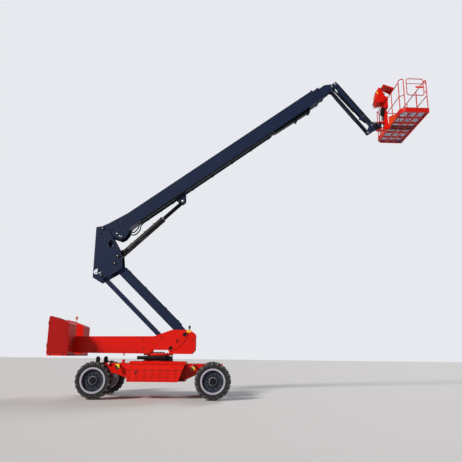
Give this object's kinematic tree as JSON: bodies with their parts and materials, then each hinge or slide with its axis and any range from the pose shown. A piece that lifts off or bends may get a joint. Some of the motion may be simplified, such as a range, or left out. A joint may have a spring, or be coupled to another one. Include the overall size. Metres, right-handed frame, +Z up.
{
  "type": "articulated boom lift",
  "caption": "Red self-propelled articulated boom lift with a parallelogram riser, dark blue telescopic boom, hanging jib and work platform.",
  "frame": {"origin": "on the ground under the slewing axis, midway between the axles", "axes": "+X the way the boom reaches, +Y to the machine's left, +Z up"},
  "size_m": [11.3668, 2.4886, 10.4697],
  "materials": {
    "red": "gloss red coat on welded plate",
    "navy": "satin dark blue coat on box sections",
    "black": "black coat on axles and cylinders",
    "rim": "grey coated wheel rims",
    "tyre": "dusty black tread rubber",
    "rod": "hard chrome plated rods",
    "carrier": "dark hose carrier",
    "amber": "amber lamp lens"
  },
  "bodies": {
    "chassis": {"chassis_frame": "red", "side_cover_left": "red", "side_cover_right": "red", "steer_axle": "black", "drive_axle": "black", "axle_lock_cylinders": "black", "slew_drive": "black"},
    "wheel_drive_left": {"tyre_drive_left": "tyre", "rim_drive_left": "rim"},
    "wheel_drive_right": {"tyre_drive_right": "tyre", "rim_drive_right": "rim"},
    "hub_steer_left": {"steer_knuckle_left": "black"},
    "hub_steer_right": {"steer_knuckle_right": "black"},
    "wheel_steer_left": {"tyre_steer_left": "tyre", "rim_steer_left": "rim"},
    "wheel_steer_right": {"tyre_steer_right": "tyre", "rim_steer_right": "rim"},
    "turntable": {"turntable_frame": "red", "tail_pod_left": "red", "tail_pod_right": "red", "counterweight": "red", "beacon": "amber", "riser_cylinder_barrel": "black"},
    "door_left": {"tail_door_left": "red"},
    "door_right": {"tail_door_right": "red"},
    "riser_upper": {"riser_upper_link": "navy"},
    "riser_lower": {"riser_lower_link": "navy"},
    "riser_rod": {"riser_cylinder_rod": "rod"},
    "knuckle": {"knuckle_frame": "navy"},
    "boom_base": {"boom_base": "navy", "hose_carrier": "carrier"},
    "boom_mid": {"boom_mid": "navy"},
    "boom_fly": {"boom_fly": "navy"},
    "boom_barrel": {"boom_cylinder_barrel": "black"},
    "boom_rod": {"boom_cylinder_rod": "rod"},
    "jib_bracket": {"jib_bracket": "navy"},
    "jib_arm": {"jib_arm": "navy"},
    "jib_link": {"jib_link": "navy"},
    "jib_barrel": {"jib_cylinder_barrel": "black"},
    "jib_rod": {"jib_cylinder_rod": "rod"},
    "jib_head": {"jib_head": "navy"},
    "platform": {"platform_support": "red", "platform_floor": "red", "platform_rails": "red", "control_console": "red"},
    "gate": {"platform_gate": "red"}
  },
  "joints": [
    {"name": "drive_wheel_left_spin", "type": "hinge", "parent": "chassis", "child": "wheel_drive_left", "pos_m": [1.64, 1.0675, 0.508], "axis": [0, 1, 0], "continuous": true},
    {"name": "steer_left", "type": "hinge", "parent": "chassis", "child": "hub_steer_left", "pos_m": [-1.64, 0.78, 0.508], "axis": [0, 0, 1], "range_deg": [-30, 30]},
    {"name": "steer_wheel_left_spin", "type": "hinge", "parent": "hub_steer_left", "child": "wheel_steer_left", "pos_m": [-1.64, 1.0675, 0.508], "axis": [0, 1, 0], "continuous": true},
    {"name": "drive_wheel_right_spin", "type": "hinge", "parent": "chassis", "child": "wheel_drive_right", "pos_m": [1.64, -1.0675, 0.508], "axis": [0, 1, 0], "continuous": true},
    {"name": "steer_right", "type": "hinge", "parent": "chassis", "child": "hub_steer_right", "pos_m": [-1.64, -0.78, 0.508], "axis": [0, 0, 1], "range_deg": [-30, 30]},
    {"name": "steer_wheel_right_spin", "type": "hinge", "parent": "hub_steer_right", "child": "wheel_steer_right", "pos_m": [-1.64, -1.0675, 0.508], "axis": [0, 1, 0], "continuous": true},
    {"name": "slew", "type": "hinge", "parent": "chassis", "child": "turntable", "pos_m": [0, 0, 1.19], "axis": [0, 0, 1], "continuous": true},
    {"name": "tail_door_left_hinge", "type": "hinge", "parent": "turntable", "child": "door_left", "pos_m": [-2.962, 1.224, 1.7], "axis": [0, 0, 1], "range_deg": [0, 110]},
    {"name": "tail_door_right_hinge", "type": "hinge", "parent": "turntable", "child": "door_right", "pos_m": [-2.962, -1.224, 1.7], "axis": [0, 0, -1], "range_deg": [0, 110]},
    {"name": "riser_lift", "type": "hinge", "parent": "turntable", "child": "riser_upper", "pos_m": [0.78, 0, 1.794], "axis": [0, 1, 0], "range_deg": [-43.9, 31.1]},
    {"name": "riser_lower_hinge", "type": "hinge", "parent": "turntable", "child": "riser_lower", "pos_m": [0.392, 0, 1.414], "axis": [0, 1, 0], "range_deg": [-43.9, 31.1]},
    {"name": "riser_rod_slide", "type": "slide", "parent": "turntable", "child": "riser_rod", "axis": [1, 0, 0.0005], "range_m": [-0.13, 0.18]},
    {"name": "knuckle_level", "type": "hinge", "parent": "riser_upper", "child": "knuckle", "pos_m": [-1.43209, 0, 3.92274], "axis": [0, 1, 0], "range_deg": [-31.1, 43.9]},
    {"name": "boom_luff", "type": "hinge", "parent": "knuckle", "child": "boom_base", "pos_m": [-1.87509, 0, 5.00174], "axis": [0, -1, 0], "range_deg": [-36.9, 33.1]},
    {"name": "telescope", "type": "slide", "parent": "boom_base", "child": "boom_mid", "axis": [0.7997, 0, 0.6004], "range_m": [0, 4.8]},
    {"name": "fly_extend", "type": "slide", "parent": "boom_mid", "child": "boom_fly", "axis": [0.7997, 0, 0.6004], "range_m": [0, 4.8]},
    {"name": "boom_cylinder_swing", "type": "hinge", "parent": "knuckle", "child": "boom_barrel", "pos_m": [-1.35809, 0, 4.14874], "axis": [0, -1, 0], "range_deg": [-34.4, 30.9]},
    {"name": "boom_rod_slide", "type": "slide", "parent": "boom_barrel", "child": "boom_rod", "axis": [0.7176, 0, 0.6965], "range_m": [-0.61, 0.55]},
    {"name": "jib_level", "type": "hinge", "parent": "boom_fly", "child": "jib_bracket", "pos_m": [5.55854, 0, 10.27045], "axis": [0, -1, 0], "range_deg": [-33.1, 36.9]},
    {"name": "jib_luff", "type": "hinge", "parent": "jib_bracket", "child": "jib_arm", "pos_m": [5.69554, 0, 10.39745], "axis": [0, -1, 0], "range_deg": [-15, 85]},
    {"name": "jib_link_hinge", "type": "hinge", "parent": "jib_bracket", "child": "jib_link", "pos_m": [5.55454, 0, 10.12845], "axis": [0, -1, 0], "range_deg": [-15, 85]},
    {"name": "jib_cylinder_swing", "type": "hinge", "parent": "jib_bracket", "child": "jib_barrel", "pos_m": [5.64054, 0, 10.21745], "axis": [0, -1, 0], "range_deg": [-14.95, 84.6]},
    {"name": "jib_rod_slide", "type": "slide", "parent": "jib_barrel", "child": "jib_rod", "axis": [0.6428, 0, -0.766], "range_m": [-0.046, 0.26]},
    {"name": "platform_level", "type": "hinge", "parent": "jib_arm", "child": "jib_head", "pos_m": [6.88977, 0, 8.88257], "axis": [0, -1, 0], "range_deg": [-85, 15]},
    {"name": "platform_rotate", "type": "hinge", "parent": "jib_head", "child": "platform", "pos_m": [7.15377, 0, 8.88257], "axis": [0, 0, 1], "range_deg": [-90, 90]},
    {"name": "gate_hinge", "type": "hinge", "parent": "platform", "child": "gate", "pos_m": [8.34397, -1.1976, 9.42457], "axis": [0, 0, -1], "range_deg": [0, 75]}
  ],
  "couplings": [
    {"joint": "steer_right", "follows": "steer_left", "ratio": 1},
    {"joint": "riser_lower_hinge", "follows": "riser_lift", "ratio": 1},
    {"joint": "riser_rod_slide", "follows": "riser_lift", "m_per_rad": -0.23},
    {"joint": "knuckle_level", "follows": "riser_lift", "ratio": -1},
    {"joint": "fly_extend", "follows": "telescope", "ratio": 1},
    {"joint": "boom_cylinder_swing", "follows": "boom_luff", "ratio": 0.93},
    {"joint": "boom_rod_slide", "follows": "boom_luff", "m_per_rad": 0.94},
    {"joint": "jib_level", "follows": "boom_luff", "ratio": -1},
    {"joint": "jib_link_hinge", "follows": "jib_luff", "ratio": 1},
    {"joint": "jib_cylinder_swing", "follows": "jib_luff", "ratio": 0.995},
    {"joint": "jib_rod_slide", "follows": "jib_luff", "m_per_rad": 0.175},
    {"joint": "platform_level", "follows": "jib_luff", "ratio": -1}
  ]
}
